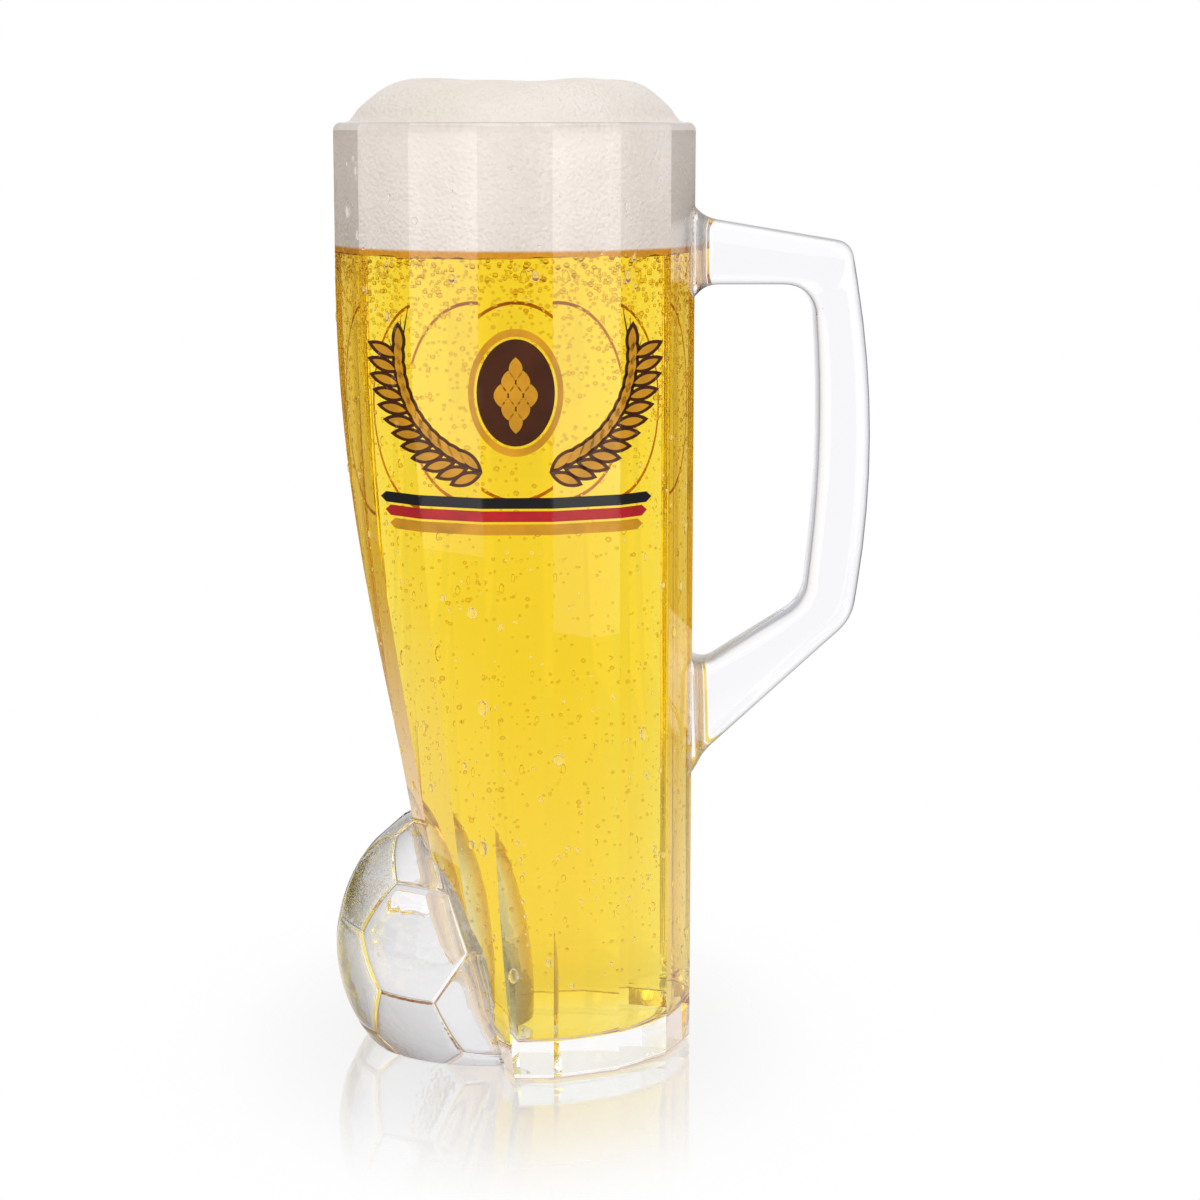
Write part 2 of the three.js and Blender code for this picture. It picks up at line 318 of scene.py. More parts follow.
class MugSizes(bpy.types.PropertyGroup):
    """Sizes of the mug and its drink."""

    height: length("Height", "Floor to rim", MUG_TOP)
    rim_radius: length("Rim radius", "Axis to a panel corner at the rim", 0.0400)
    foot_radius: length("Foot radius", "Axis to a panel corner at the foot", 0.0394)
    wall: length("Wall", "Thickness of the glass wall", 0.0036)
    base: length("Base", "Thickness of the glass floor", 0.0070)
    ball_radius: length("Ball radius", "Radius of the football", 0.0346)
    ball_offset: length("Ball offset", "From the mouth's axis to the ball's middle", 0.0065)
    ball_height: length("Ball height", "From the floor to the ball's middle", 0.0213)
    seam_depth: length("Seam depth", "Depth of the football's seams", 0.0004)
    handle_reach: length("Handle reach", "From the mouth's axis to the back of the grip", 0.0783)
    handle_thickness: length("Handle thickness", "Across the handle", 0.0150)
    beer_level: length("Beer level", "Floor to the top of the beer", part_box("beer")[1][2])
    dome_rise: length("Dome rise", "Foam above the rim", FOAM_TOP - MUG_TOP)
    print_lift: length("Print lift", "Thickness of the enamel on the glass", 0.00008)
    drops: count("Drops", "Number of drops of dew on the glass", 900)
    bubbles: count("Bubbles", "Number of bubbles in the beer", 2200)


class MugColours(bpy.types.PropertyGroup):
    """Colours of the mug, its drink and its print."""

    glass: colour("Glass", "Tint of the glass", (0.975, 0.972, 0.995))
    # Painted shade: the dark that bare glass takes on where it turns away from the eye
    edge: colour("Glass edge", "Bare glass that turns away from the eye", (0.08, 0.08, 0.10))
    # Painted shade: amber dark on the swelling's glass where it turns away from the eye
    deep_edge_shade: colour("Deep edge", "Glass within the beer that turns away from the eye", (0.62, 0.30, 0.03))
    # Painted shade: amber dark on the outside where beer stands behind it and the glass turns away from the
    # eye
    warm_edge_shade: colour("Warm edge", "Glass by the beer that turns away from the eye", (0.55, 0.24, 0.04))
    beer: colour("Beer", "What the beer lets through", (0.998, 0.905, 0.02))
    foam: colour("Foam", "Foam in the light", (0.95, 0.88, 0.815))
    # Deeper clouded tone of the foam; darkened to a share, it is also the painted shade at the outside's
    # edges above the beer
    foam_deep: colour("Foam hollows", "Foam between its bubbles", (0.87, 0.79, 0.71))
    # Painted shade: the amber band where the foam meets the beer
    foam_shade_band: colour("Wet foam", "Foam soaked with beer", (0.74, 0.33, 0.012))
    gold: colour("Gold", "Gold enamel", (0.84, 0.38, 0.012))
    brown: colour("Brown", "Brown enamel", (0.11, 0.030, 0.010))
    red: colour("Red", "Red enamel", (0.62, 0.015, 0.02))
    black: colour("Black", "Black enamel", (0.012, 0.010, 0.010))
    floor: colour("Floor", "Studio floor", (0.94, 0.94, 0.945))


def mug_size(name):
    """One of the sizes, in millimetres."""
    return getattr(bpy.context.scene.mug_sizes, name) / MM


def mug_colour(name, share=1.0):
    """One of the colours, darkened to a share of itself, with its alpha."""
    return (*(share * c for c in getattr(bpy.context.scene.mug_colours, name)), 1.0)


# Outlines of the mug


def curve_point(points, t):
    """Point on a cubic curve through four control points."""
    weights = np.array(((1 - t) ** 3, 3 * t * (1 - t) ** 2, 3 * t * t * (1 - t), t**3))
    return weights @ np.array(points)


def round_radius(z):
    """Radius over the panel corners at a height."""
    foot = mug_size("foot_radius")
    return foot + (mug_size("rim_radius") - foot) * z / mug_size("height")


def flank_reach(z):
    """How far the flank over the football stands out from the axis at a height."""
    if z >= FLANK_TOP:
        return round_radius(z)
    full = round_radius(FLANK_TOP)
    waist = (WAIST_REACH, WAIST_HEIGHT)
    if z > WAIST_HEIGHT:
        above = (WAIST_REACH + WAIST_SLOPE * WAIST_LEAD_ABOVE, WAIST_HEIGHT + WAIST_LEAD_ABOVE)
        points = ((full, FLANK_TOP), (full, FLANK_TOP - FLANK_HOLD), above, waist)
    else:
        below = (WAIST_REACH - WAIST_SLOPE * WAIST_LEAD_BELOW, WAIST_HEIGHT - WAIST_LEAD_BELOW)
        points = (waist, below, (PROW_REACH + PROW_SLOPE * PROW_LEAD, PROW_LEAD), (PROW_REACH, 0))
    low, high = 0.0, 1.0
    for _ in range(30):
        middle = (low + high) / 2
        if curve_point(points, middle)[1] > z:
            low = middle
        else:
            high = middle
    return curve_point(points, low)[0]


def ring(radius, flank, angles):
    """Points round the mug: a circle that is squeezed on the football's side."""
    return [
        ((radius if math.cos(a) > 0 else flank) * math.cos(a), radius * math.sin(a)) for a in angles
    ]


def outer_ring(z, inset=0.0):
    """Corners of the flat-panelled outside at a height."""
    angles = (np.arange(PANELS) + 0.5) * 2 * math.pi / PANELS
    return ring(round_radius(z) - inset, flank_reach(z) - inset, angles)


def inner_ring(z, inset=0.0, segments=96):
    """Points of the smooth inside at a height."""
    in_from_panel = mug_size("wall") + inset
    angles = np.arange(segments) * 2 * math.pi / segments
    radius = round_radius(z) * PANEL_FACTOR - in_from_panel
    return ring(radius, flank_reach(z) * PANEL_FACTOR - in_from_panel, angles)


# Mesh tools


def place_object(name, data):
    """New object in the scene for a mesh, a lamp or a camera."""
    obj = bpy.data.objects.new(name, data)
    bpy.context.scene.collection.objects.link(obj)
    return obj


def object_from(name, bm):
    """Scene object that holds a bmesh."""
    mesh = bpy.data.meshes.new(name)
    bm.to_mesh(mesh)
    bm.free()
    return place_object(name, mesh)


def row_at(bm, z, points):
    """Row of vertices at a height, from points in millimetres."""
    return [bm.verts.new((x * MM, y * MM, z * MM)) for x, y in points]


def close_ends(bm, rows):
    """Faces over the first and the last row."""
    bm.faces.new(list(reversed(rows[0])))
    bm.faces.new(rows[-1])


def skin(bm, rows, material=0):
    """Quads between closed rows of vertices."""
    for lower, upper in zip(rows, rows[1:]):
        for i in range(len(lower)):
            j = (i + 1) % len(lower)
            face = bm.faces.new((lower[i], lower[j], upper[j], upper[i]))
            face.material_index = material


def loft(name, levels):
    """Closed mesh through rings given as (height, points), in millimetres."""
    bm = bmesh.new()
    rows = [row_at(bm, z, points) for z, points in levels]
    skin(bm, rows)
    close_ends(bm, rows)
    return object_from(name, bm)


def cut_away(obj, tool):
    """Cuts a tool out of obj, with the tool's materials on the cut, and removes the tool."""
    modifier = obj.modifiers.new("cut", "BOOLEAN")
    modifier.operation = "DIFFERENCE"
    modifier.solver = "MANIFOLD"
    modifier.material_mode = "TRANSFER" if tool.data.materials else "INDEX"
    modifier.object = tool
    graph = bpy.context.evaluated_depsgraph_get()
    made = bpy.data.meshes.new_from_object(obj.evaluated_get(graph))
    obj.modifiers.clear()
    if not made.polygons:
        raise RuntimeError(f"nothing is left of {obj.name} when {tool.name} is cut away")
    if not any(made.materials):
        made.materials.clear()
    obj.data = made
    made.name = obj.name
    bpy.data.objects.remove(tool)


def finish_piece(obj, materials, sharp, nodes=()):
    """Gives a piece its materials, shading and body, and hides the solids that it stands for."""
    for material in materials:
        obj.data.materials.append(material)
    obj.data.shade_smooth()
    obj.data.set_sharp_from_angle(angle=math.radians(sharp))
    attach(obj, "root")
    if nodes:
        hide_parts(*nodes)


# Node groups and materials


def fade(tree, value, span, ends):
    """Smooth change from one end to the other while a value crosses a span."""
    ramp = tree.nodes.new("ShaderNodeMapRange")
    ramp.interpolation_type = "SMOOTHSTEP"
    for label, number in zip(("From Min", "From Max", "To Min", "To Max"), (*span, *ends)):
        ramp.inputs[label].default_value = number
    tree.links.new(value, ramp.inputs["Value"])
    return ramp.outputs["Result"]


def blend_colours(tree, share, first, second):
    """Mix of two colours by a share, each plain or from another node."""
    mix = tree.nodes.new("ShaderNodeMix")
    mix.data_type = "RGBA"
    tree.links.new(share, mix.inputs["Factor"])
    for label, tint in (("A", first), ("B", second)):
        if isinstance(tint, tuple):
            mix.inputs[label].default_value = tint
        else:
            tree.links.new(tint, mix.inputs[label])
    return mix.outputs["Result"]


def blend_shaders(tree, share, first, second):
    """Mix of two shader nodes' outputs by a share."""
    mix = tree.nodes.new("ShaderNodeMixShader")
    tree.links.new(share, mix.inputs["Fac"])
    tree.links.new(first, mix.inputs[1])
    tree.links.new(second, mix.inputs[2])
    return mix.outputs["Shader"]


def new_group(name, inputs, outputs):
    """Empty node group with sockets given as (name, kind, default) and (name, kind)."""
    group = bpy.data.node_groups.new(name, "ShaderNodeTree")
    for label, kind, default in inputs:
        group.interface.new_socket(label, in_out="INPUT", socket_type=kind).default_value = default
    for label, kind in outputs:
        group.interface.new_socket(label, in_out="OUTPUT", socket_type=kind)
    return group, group.nodes.new("NodeGroupInput"), group.nodes.new("NodeGroupOutput")


def relief_group():
    """Fine relief as a height: many small rounded grains over a slow swell."""
    if "fine_relief" in bpy.data.node_groups:
        return bpy.data.node_groups["fine_relief"]
    number = "NodeSocketFloat"
    group, entry, leave = new_group(
        "fine_relief",
        (("Grains per metre", number, 1500.0), ("Swells per metre", number, 60.0), ("Swell", number, 0.3)),
        (("Height", number),),
    )
    nodes, links = group.nodes, group.links
    place = nodes.new("ShaderNodeTexCoord")
    grains = nodes.new("ShaderNodeTexVoronoi")
    grains.feature = "SMOOTH_F1"
    swell = nodes.new("ShaderNodeTexNoise")
    swell.inputs["Detail"].default_value = 2.0
    invert = nodes.new("ShaderNodeMath")
    invert.operation = "SUBTRACT"
    invert.inputs[0].default_value = 1.0
    blend = nodes.new("ShaderNodeMix")
    links.new(place.outputs["Object"], grains.inputs["Vector"])
    links.new(place.outputs["Object"], swell.inputs["Vector"])
    links.new(entry.outputs["Grains per metre"], grains.inputs["Scale"])
    links.new(entry.outputs["Swells per metre"], swell.inputs["Scale"])
    links.new(grains.outputs["Distance"], invert.inputs[1])
    links.new(entry.outputs["Swell"], blend.inputs["Factor"])
    links.new(invert.outputs[0], blend.inputs["A"])
    links.new(swell.outputs["Fac"], blend.inputs["B"])
    links.new(blend.outputs["Result"], leave.inputs["Height"])
    return group


def mottle_group():
    """Two colours clouded into each other."""
    if "mottle" in bpy.data.node_groups:
        return bpy.data.node_groups["mottle"]
    tint = "NodeSocketColor"
    group, entry, leave = new_group(
        "mottle",
        (
            ("Light", tint, (0.9, 0.9, 0.9, 1)),
            ("Deep", tint, (0.7, 0.7, 0.7, 1)),
            ("Clouds per metre", "NodeSocketFloat", 120.0),
        ),
        (("Colour", tint),),
    )
    nodes, links = group.nodes, group.links
    place = nodes.new("ShaderNodeTexCoord")
    noise = nodes.new("ShaderNodeTexNoise")
    noise.inputs["Detail"].default_value = 5.0
    spread = nodes.new("ShaderNodeMapRange")
    spread.inputs["From Min"].default_value = 0.35
    spread.inputs["From Max"].default_value = 0.70
    links.new(place.outputs["Object"], noise.inputs["Vector"])
    links.new(entry.outputs["Clouds per metre"], noise.inputs["Scale"])
    links.new(noise.outputs["Fac"], spread.inputs["Value"])
    mixed = blend_colours(group, spread.outputs["Result"], entry.outputs["Light"], entry.outputs["Deep"])
    links.new(mixed, leave.inputs["Colour"])
    return group


def height_band_group():
    """A value that runs from nought to one between two heights."""
    if "height_band" in bpy.data.node_groups:
        return bpy.data.node_groups["height_band"]
    number = "NodeSocketFloat"
    group, entry, leave = new_group(
        "height_band", (("Low", number, 0.0), ("High", number, 0.1)), (("Share", number),)
    )
    nodes, links = group.nodes, group.links
    place = nodes.new("ShaderNodeTexCoord")
    split = nodes.new("ShaderNodeSeparateXYZ")
    band = nodes.new("ShaderNodeMapRange")
    band.interpolation_type = "SMOOTHSTEP"
    links.new(place.outputs["Object"], split.inputs["Vector"])
    links.new(split.outputs["Z"], band.inputs["Value"])
    links.new(entry.outputs["Low"], band.inputs["From Min"])
    links.new(entry.outputs["High"], band.inputs["From Max"])
    links.new(band.outputs["Result"], leave.inputs["Share"])
    return group


def use_group(tree, group, values):
    """Puts a node group into a material's nodes with its own values, and gives its one output."""
    node = tree.nodes.new("ShaderNodeGroup")
    node.node_tree = group
    for name, value in values.items():
        node.inputs[name].default_value = value
    return node.outputs[0]


def clouded(tree, light, deep, clouds):
    """Colour clouded between two tones."""
    return use_group(tree, mottle_group(), {"Light": light, "Deep": deep, "Clouds per metre": clouds})


def new_material(name, roughness):
    """Material with a Principled shader and an output."""
    material = bpy.data.materials.new(name)
    material.use_nodes = True
    tree = material.node_tree
    tree.nodes.clear()
    shader = tree.nodes.new("ShaderNodeBsdfPrincipled")
    shader.inputs["Roughness"].default_value = roughness
    output = tree.nodes.new("ShaderNodeOutputMaterial")
    tree.links.new(shader.outputs["BSDF"], output.inputs["Surface"])
    return material, shader, output


def clear_material(name, bend, shade, roughness=0.0):
    """Material that bends light as glass or a liquid does, and lets lamplight through."""
    material, shader, output = new_material(name, roughness)
    shader.inputs["IOR"].default_value = bend
    shader.inputs["Transmission Weight"].default_value = 1.0
    tree = material.node_tree
    path = tree.nodes.new("ShaderNodeLightPath")
    through = tree.nodes.new("ShaderNodeBsdfTransparent")
    through.inputs["Color"].default_value = shade
    mixed = blend_shaders(
        tree, path.outputs["Is Shadow Ray"], shader.outputs["BSDF"], through.outputs["BSDF"]
    )
    tree.links.new(mixed, output.inputs["Surface"])
    return material, shader, output


def add_relief(tree, shader, strength, distance, grains, swells, swell, share=None):
    """Feeds the fine relief into the shader's normal, everywhere or by a share."""
    values = {"Grains per metre": grains, "Swells per metre": swells, "Swell": swell}
    bump = tree.nodes.new("ShaderNodeBump")
    bump.inputs["Strength"].default_value = strength
    bump.inputs["Distance"].default_value = distance
    tree.links.new(use_group(tree, relief_group(), values), bump.inputs["Height"])
    tree.links.new(bump.outputs["Normal"], shader.inputs["Normal"])
    if share is not None:
        amount = tree.nodes.new("ShaderNodeMapRange")
        amount.inputs["To Max"].default_value = strength
        tree.links.new(share, amount.inputs["Value"])
        tree.links.new(amount.outputs["Result"], bump.inputs["Strength"])


def paint_edge_shade(tree, shader, slant, edge, share=1.0):
    """Paints shade into the glass where its outside turns away from the eye, darkening its tint towards the
    edge colour.
    """
    turn = tree.nodes.new("ShaderNodeLayerWeight")
    turn.inputs["Blend"].default_value = 0.5
    side = tree.nodes.new("ShaderNodeNewGeometry")
    outside = tree.nodes.new("ShaderNodeMix")
    outside.inputs["B"].default_value = 0.0
    tree.links.new(side.outputs["Backfacing"], outside.inputs["Factor"])
    tree.links.new(fade(tree, turn.outputs["Facing"], slant, (0.0, 1.0)), outside.inputs["A"])
    tint = blend_colours(tree, outside.outputs["Result"], mug_colour("glass", share), edge)
    tree.links.new(tint, shader.inputs["Base Color"])


def bare_glass(name, grains, strength, roughness, share):
    """Pressed glass with nothing behind it, plain or stippled, with painted shade at its edges and, by a
    share, over all of it.
    """
    if name in bpy.data.materials:
        return bpy.data.materials[name]
    material, shader, _ = clear_material(name, GLASS_BEND, GLASS_SHADE, roughness)
    # Painted shade at the edges, and over all of the glass where the share is below one
    paint_edge_shade(material.node_tree, shader, EDGE_SLANT, mug_colour("edge"), share)
    add_relief(material.node_tree, shader, strength, 0.0003, grains, swells=45.0, swell=0.4)
    return material


def clear_glass():
    """The glass of the handle and the football's six-sided panels."""
    return bare_glass("clear_glass", grains=700.0, strength=0.02, roughness=0.0, share=1.0)


def stippled_glass():
    """The glass of the football's five-sided panels, greyed all over with painted shade."""
    # A share of 0.72 greys the whole glass as painted shade
    return bare_glass("stippled_glass", grains=1100.0, strength=0.55, roughness=0.06, share=0.72)


def dewy_glass():
    """Outside of the mug: painted amber shade at its edges where beer stands behind it, painted grey shade
    at its edges above, and dewy above.
    """
    material, shader, _ = clear_material("dewy_glass", GLASS_BEND, GLASS_SHADE)
    tree = material.node_tree
    low = bpy.context.scene.mug_sizes.beer_level - BREATH_BELOW * MM
    band = use_group(tree, height_band_group(), {"Low": low, "High": low + BREATH_BLEND * MM})
    # Painted shade at the edges: amber below the top of the beer, a dark share of the foam's tone above it
    outside_shade = blend_colours(tree, band, mug_colour("warm_edge_shade"), mug_colour("foam_deep", 0.45))
    paint_edge_shade(tree, shader, PANEL_SLANT, outside_shade)
    add_relief(tree, shader, 0.18, 0.0003, grains=1300.0, swells=45.0, swell=0.4, share=band)
    return material


def wet_glass():
    """Inside of the mug: bends light as glass against beer, for both."""
    material, shader, _ = clear_material("wet_glass", GLASS_BEND / BEER_BEND, GLASS_SHADE)
    shader.inputs["Base Color"].default_value = mug_colour("glass")
    return material


def swell_glass():
    """Wet glass of the swelling: wavy, with painted amber shade where it turns away from the eye."""
    material, shader, _ = clear_material("swell_glass", GLASS_BEND / BEER_BEND, GLASS_SHADE)
    # Painted amber shade where the swelling turns away from the eye
    paint_edge_shade(material.node_tree, shader, SWELL_SLANT, mug_colour("deep_edge_shade"))
    add_relief(material.node_tree, shader, 0.5, 0.002, grains=160.0, swells=90.0, swell=0.6)
    return material


def beer_material():
    """Clear golden beer that deepens with its thickness; the wet glass around it bends the light."""
    material, shader, output = clear_material("golden_beer", 1.0, BEER_SHADE)
    shader.inputs["Base Color"].default_value = WHITE
    absorb = material.node_tree.nodes.new("ShaderNodeVolumeAbsorption")
    absorb.inputs["Color"].default_value = mug_colour("beer")
    absorb.inputs["Density"].default_value = BEER_DENSITY
    material.node_tree.links.new(absorb.outputs["Volume"], output.inputs["Volume"])
    return material


def foam_material():
    """Off-white froth of fine bubbles, with painted amber shade where it meets the beer."""
    material, shader, _ = new_material("beer_foam", roughness=0.62)
    tree = material.node_tree
    shader.inputs["Specular IOR Level"].default_value = 0.3
    # Painted amber shade on the foam where it meets the beer
    low, high = (bpy.context.scene.mug_sizes.beer_level + z * MM for z in FOAM_SHADE_SPAN)
    unshaded = use_group(tree, height_band_group(), {"Low": low, "High": high})
    clouds = clouded(tree, mug_colour("foam"), mug_colour("foam_deep"), 45.0)
    tree.links.new(blend_colours(tree, unshaded, mug_colour("foam_shade_band"), clouds), shader.inputs["Base Color"])
    add_relief(tree, shader, 0.8, 0.0006, grains=1300.0, swells=130.0, swell=0.3)
    return material


def enamel_material(name, metallic=0.0):
    """Fired enamel, a little clouded."""
    material, shader, _ = new_material(f"{name}_enamel", roughness=0.3)
    tree = material.node_tree
    shader.inputs["Metallic"].default_value = metallic
    tint = clouded(tree, mug_colour(name), mug_colour(name, 0.7), 160.0)
    tree.links.new(tint, shader.inputs["Base Color"])
    add_relief(tree, shader, 0.12, 0.0002, grains=2600.0, swells=300.0, swell=0.6)
    return material


def dew_material():
    """Clear water."""
    material, shader, _ = clear_material("dew_water", DEW_BEND, WHITE)
    shader.inputs["Base Color"].default_value = WHITE
    return material


def bubble_material():
    """Bubble of gas: clear in the middle, with painted amber shade towards its rim."""
    material, shader, _ = clear_material("gas_bubble", GAS_BEND, BEER_SHADE)
    tree = material.node_tree
    # Painted amber shade towards the rim
    edge = tree.nodes.new("ShaderNodeLayerWeight")
    edge.inputs["Blend"].default_value = 0.35
    tint = blend_colours(tree, edge.outputs["Facing"], BEER_SHADE, GAS_RIM_SHADE)
    tree.links.new(tint, shader.inputs["Base Color"])
    return material


# Glass


def outer_solid(name, inset=0.0):
    """The panelled outside as a full solid, or the same drawn in by an inset and run on below the floor."""
    lip = mug_size("wall") / 2
    top = mug_size("height") - lip
    levels = []
    if inset:
        levels += [(z, outer_ring(max(z, 0), inset)) for z in (-HEEL_RADIUS, 0, HEEL_RADIUS)]
    else:
        for turn in np.linspace(0, math.pi / 2, ROUND_STEPS):
            z = HEEL_RADIUS * (1 - math.cos(turn))
            levels.append((z, outer_ring(z, HEEL_RADIUS * (1 - math.sin(turn)))))
    levels += [(z, outer_ring(z, inset)) for z in np.linspace(HEEL_RADIUS, top, OUTER_STEPS)[1:]]
    for turn in np.linspace(0, math.pi / 2, ROUND_STEPS)[1:]:
        z = top + lip * math.sin(turn)
        levels.append((z, outer_ring(z, inset + lip * (1 - math.cos(turn)))))
    return loft(name, levels)


def swelling(inset):
    """Glass behind the football that swells into the mug."""
    bm = bmesh.new()
    bmesh.ops.create_uvsphere(bm, u_segments=96, v_segments=64, radius=MM)
    across = SWELL_RADIUS + inset
    size = Matrix.Diagonal((across, across, SWELL_RISE + inset, 1))
    place = Matrix.Translation(Vector(SWELL_CENTRE) * MM)
    bmesh.ops.transform(bm, matrix=place @ size, verts=bm.verts)
    return object_from("swelling", bm)


def hollow(name, inset, top, open_mouth=False, coats=()):
    """Room inside the mug up to a height, less the swelling, with a material for each."""
    base = mug_size("base") + inset
    levels = []
    for turn in np.linspace(0, math.pi / 2, ROUND_STEPS):
        z = base + FLOOR_FILLET * (1 - math.cos(turn))
        levels.append((z, inner_ring(z, inset + FLOOR_FILLET * (1 - math.sin(turn)))))
    heights = np.linspace(base + FLOOR_FILLET, top, INNER_STEPS)[1:]
    levels += [(z, inner_ring(z, inset)) for z in heights]
    if open_mouth:
        lip = mug_size("wall") / 2
        for turn in np.linspace(0, math.pi / 2, ROUND_STEPS)[1:]:
            z = top + lip * math.sin(turn)
            levels.append((z, inner_ring(z, inset - lip * (1 - math.cos(turn)))))
        levels.append((top + 4 * lip, inner_ring(top, inset - lip)))
    room = loft(name, levels)
    bulge = swelling(inset)
    for obj, coat in zip((room, bulge), coats):
        obj.data.materials.append(coat)
    cut_away(room, bulge)
    return room


class MUG_OT_body(bpy.types.Operator):
    """Makes the panelled glass body"""

    bl_idname = "mug.body"
    bl_label = "Glass body"

    def execute(self, context):
        body = outer_solid("mug_glass")
        body.data.materials.append(dewy_glass())
        top = mug_size("height") - mug_size("wall") / 2
        room = hollow("room", 0.0, top, open_mouth=True, coats=(wet_glass(), swell_glass()))
        cut_away(body, room)
        finish_piece(body, (), 6, ("mug_body",))
        for face in body.data.polygons:
            face.use_smooth = face.normal.z > FLAT_BELOW
        return {"FINISHED"}


def rounded_path(corners):
    """Open path through corners (x, z, cut), each rounded from cut before it to cut after it."""
    runs = []
    places = [np.array(corner[:2], dtype=float) for corner in corners]
    for k, (_, _, cut) in enumerate(corners):
        if k in (0, len(corners) - 1):
            runs.append([places[k]])
            continue
        back = places[k - 1] - places[k]
        ahead = places[k + 1] - places[k]
        back /= np.linalg.norm(back)
        ahead /= np.linalg.norm(ahead)
        start = places[k] + back * cut
        end = places[k] + ahead * cut
        turns = np.linspace(0, 1, CORNER_STEPS)
        runs.append([start * (1 - t) ** 2 + places[k] * 2 * t * (1 - t) + end * t * t for t in turns])
    path = list(runs[0])
    for run in runs[1:]:
        between = np.linspace(0, 1, STRAIGHT_STEPS)[1:-1]
        path += [path[-1] + (run[0] - path[-1]) * t for t in between]
        path += run
    return path


def handle_paths():
    """Outer and inner outline of the handle, from the upper root to the lower one."""
    root = round_radius(UPPER_ARM_TOP) * PANEL_FACTOR
    reach = mug_size("handle_reach")
    outer_x = reach + GRIP_BOW * BACK_BOW
    inner_x = reach - GRIP_DEPTH + GRIP_BOW * HOLE_BOW
    corner_x = reach - CORNER_SETBACK
    hole_x = inner_x - HOLE_SETBACK
    middle = (UPPER_ARM_UNDERSIDE + LOWER_CORNER) / 2 + GRIP_LIFT
    inside = root - mug_size("wall") * ROOT_SINK
    foot = root + ROOT_STANDOFF * ROOT_FILLET
    arm_root = LOWER_CORNER - LOWER_ARM_FALL
    over_root = LOWER_ARM_OVER - (hole_x - root) * LOWER_ARM_SLOPE
    outer = rounded_path((
        (inside, UPPER_ARM_TOP + ROOT_RISE * ROOT_FILLET, 0),
        (foot, UPPER_ARM_TOP, ROOT_FILLET),
        (corner_x, UPPER_ARM_TOP - UPPER_ARM_DROP, TOP_CORNER_ROUND),
        (outer_x, middle, GRIP_ROUND),
        (corner_x + LOW_CORNER_OUT, LOWER_CORNER, LOW_CORNER_ROUND),
        (foot, arm_root, ROOT_FILLET),
        (inside, arm_root - ROOT_TAIL * ROOT_FILLET, 0),
    ))
    inner = rounded_path((
        (inside, UPPER_ARM_UNDERSIDE - ROOT_RISE * ROOT_FILLET, 0),
        (foot, UPPER_ARM_UNDERSIDE, ROOT_FILLET),
        (inner_x - HOLE_LEAN, UPPER_ARM_UNDERSIDE, HOLE_TOP_ROUND),
        (inner_x, middle, HOLE_GRIP_ROUND),
        (hole_x, LOWER_ARM_OVER, HOLE_LOW_ROUND),
        (foot, over_root, ROOT_FILLET),
        (inside, over_root + ROOT_FILLET, 0),
    ))
    return root, outer, inner


def glass_handle():
    """The angular handle: a rounded section swept between its outlines, flared at its roots."""
    root, outer, inner = handle_paths()
    bm = bmesh.new()
    rows = []
    for far, near in zip(outer, inner):
        across = far - near
        width = np.linalg.norm(across)
        across /= width
        middle = (far + near) / 2
        off_root = max(0, middle[0] - root) / (FLARE_REACH * ROOT_FILLET)
        flare = ROOT_FLARE * math.exp(-(off_root**2))
        half = mug_size("handle_thickness") / 2 + flare
        row = []
        for corner, (right, front) in enumerate(((1, 1), (-1, 1), (-1, -1), (1, -1))):
            for turn in np.radians(90 * corner + np.linspace(0, 90, HANDLE_EDGE_STEPS)):
                u = right * (width / 2 - HANDLE_EDGE) + HANDLE_EDGE * math.cos(turn)
                v = front * (half - HANDLE_EDGE) + HANDLE_EDGE * math.sin(turn)
                x, z = middle + across * u
                row.append(bm.verts.new((x * MM, v * MM, z * MM)))
        rows.append(row)
    skin(bm, rows)
    close_ends(bm, rows)
    bmesh.ops.recalc_face_normals(bm, faces=bm.faces)
    return object_from("handle_glass", bm)


class MUG_OT_handle(bpy.types.Operator):
    """Makes the handle, its roots melted into the body"""

    bl_idname = "mug.handle"
    bl_label = "Glass handle"

    def execute(self, context):
        handle = glass_handle()
        cut_away(handle, outer_solid("cutter", GLASS_MELT))
        finish_piece(handle, (clear_glass(),), 30, ("handle",))
        return {"FINISHED"}


def unit(vector):
    """A vector's direction."""
    return vector / np.linalg.norm(vector)


def axes_from(forward, sideways):
    """Axes as columns, the last along forward."""
    forward = unit(np.array(forward, dtype=float))
    side = unit(np.cross(sideways, forward))
    return np.column_stack((side, np.cross(forward, side), forward))


def ball_panels():
    """Corner directions of the six-sided and five-sided panels, turned as on the mug."""
    bm = bmesh.new()
    bmesh.ops.create_icosphere(bm, subdivisions=1, radius=1.0)
    bm.verts.ensure_lookup_table()
    corners = [np.array(vert.co) for vert in bm.verts]
    faces = [[vert.index for vert in face.verts] for face in bm.faces]
    around = [[edge.other_vert(vert).index for edge in vert.link_edges] for vert in bm.verts]
    bm.free()

    def third(a, b):
        """Direction a third of the way from one corner to another."""
        return unit(2 * corners[a] + corners[b])

    panels = []
    for a, b, c in faces:
        panels.append([third(a, b), third(b, a), third(b, c), third(c, b), third(c, a), third(a, c)])
    for middle, near in enumerate(around):
        axes = axes_from(corners[middle], corners[near[0]])
        near.sort(key=lambda k: math.atan2(corners[k] @ axes[:, 1], corners[k] @ axes[:, 0]))
        panels.append([third(middle, k) for k in near])
    first = panels[0]
    turn = axes_from(HEXAGON_FACING, PENTAGON_SIDE) @ axes_from(sum(first), first[0] + first[5]).T
    return [[turn @ corner for corner in panel] for panel in panels]


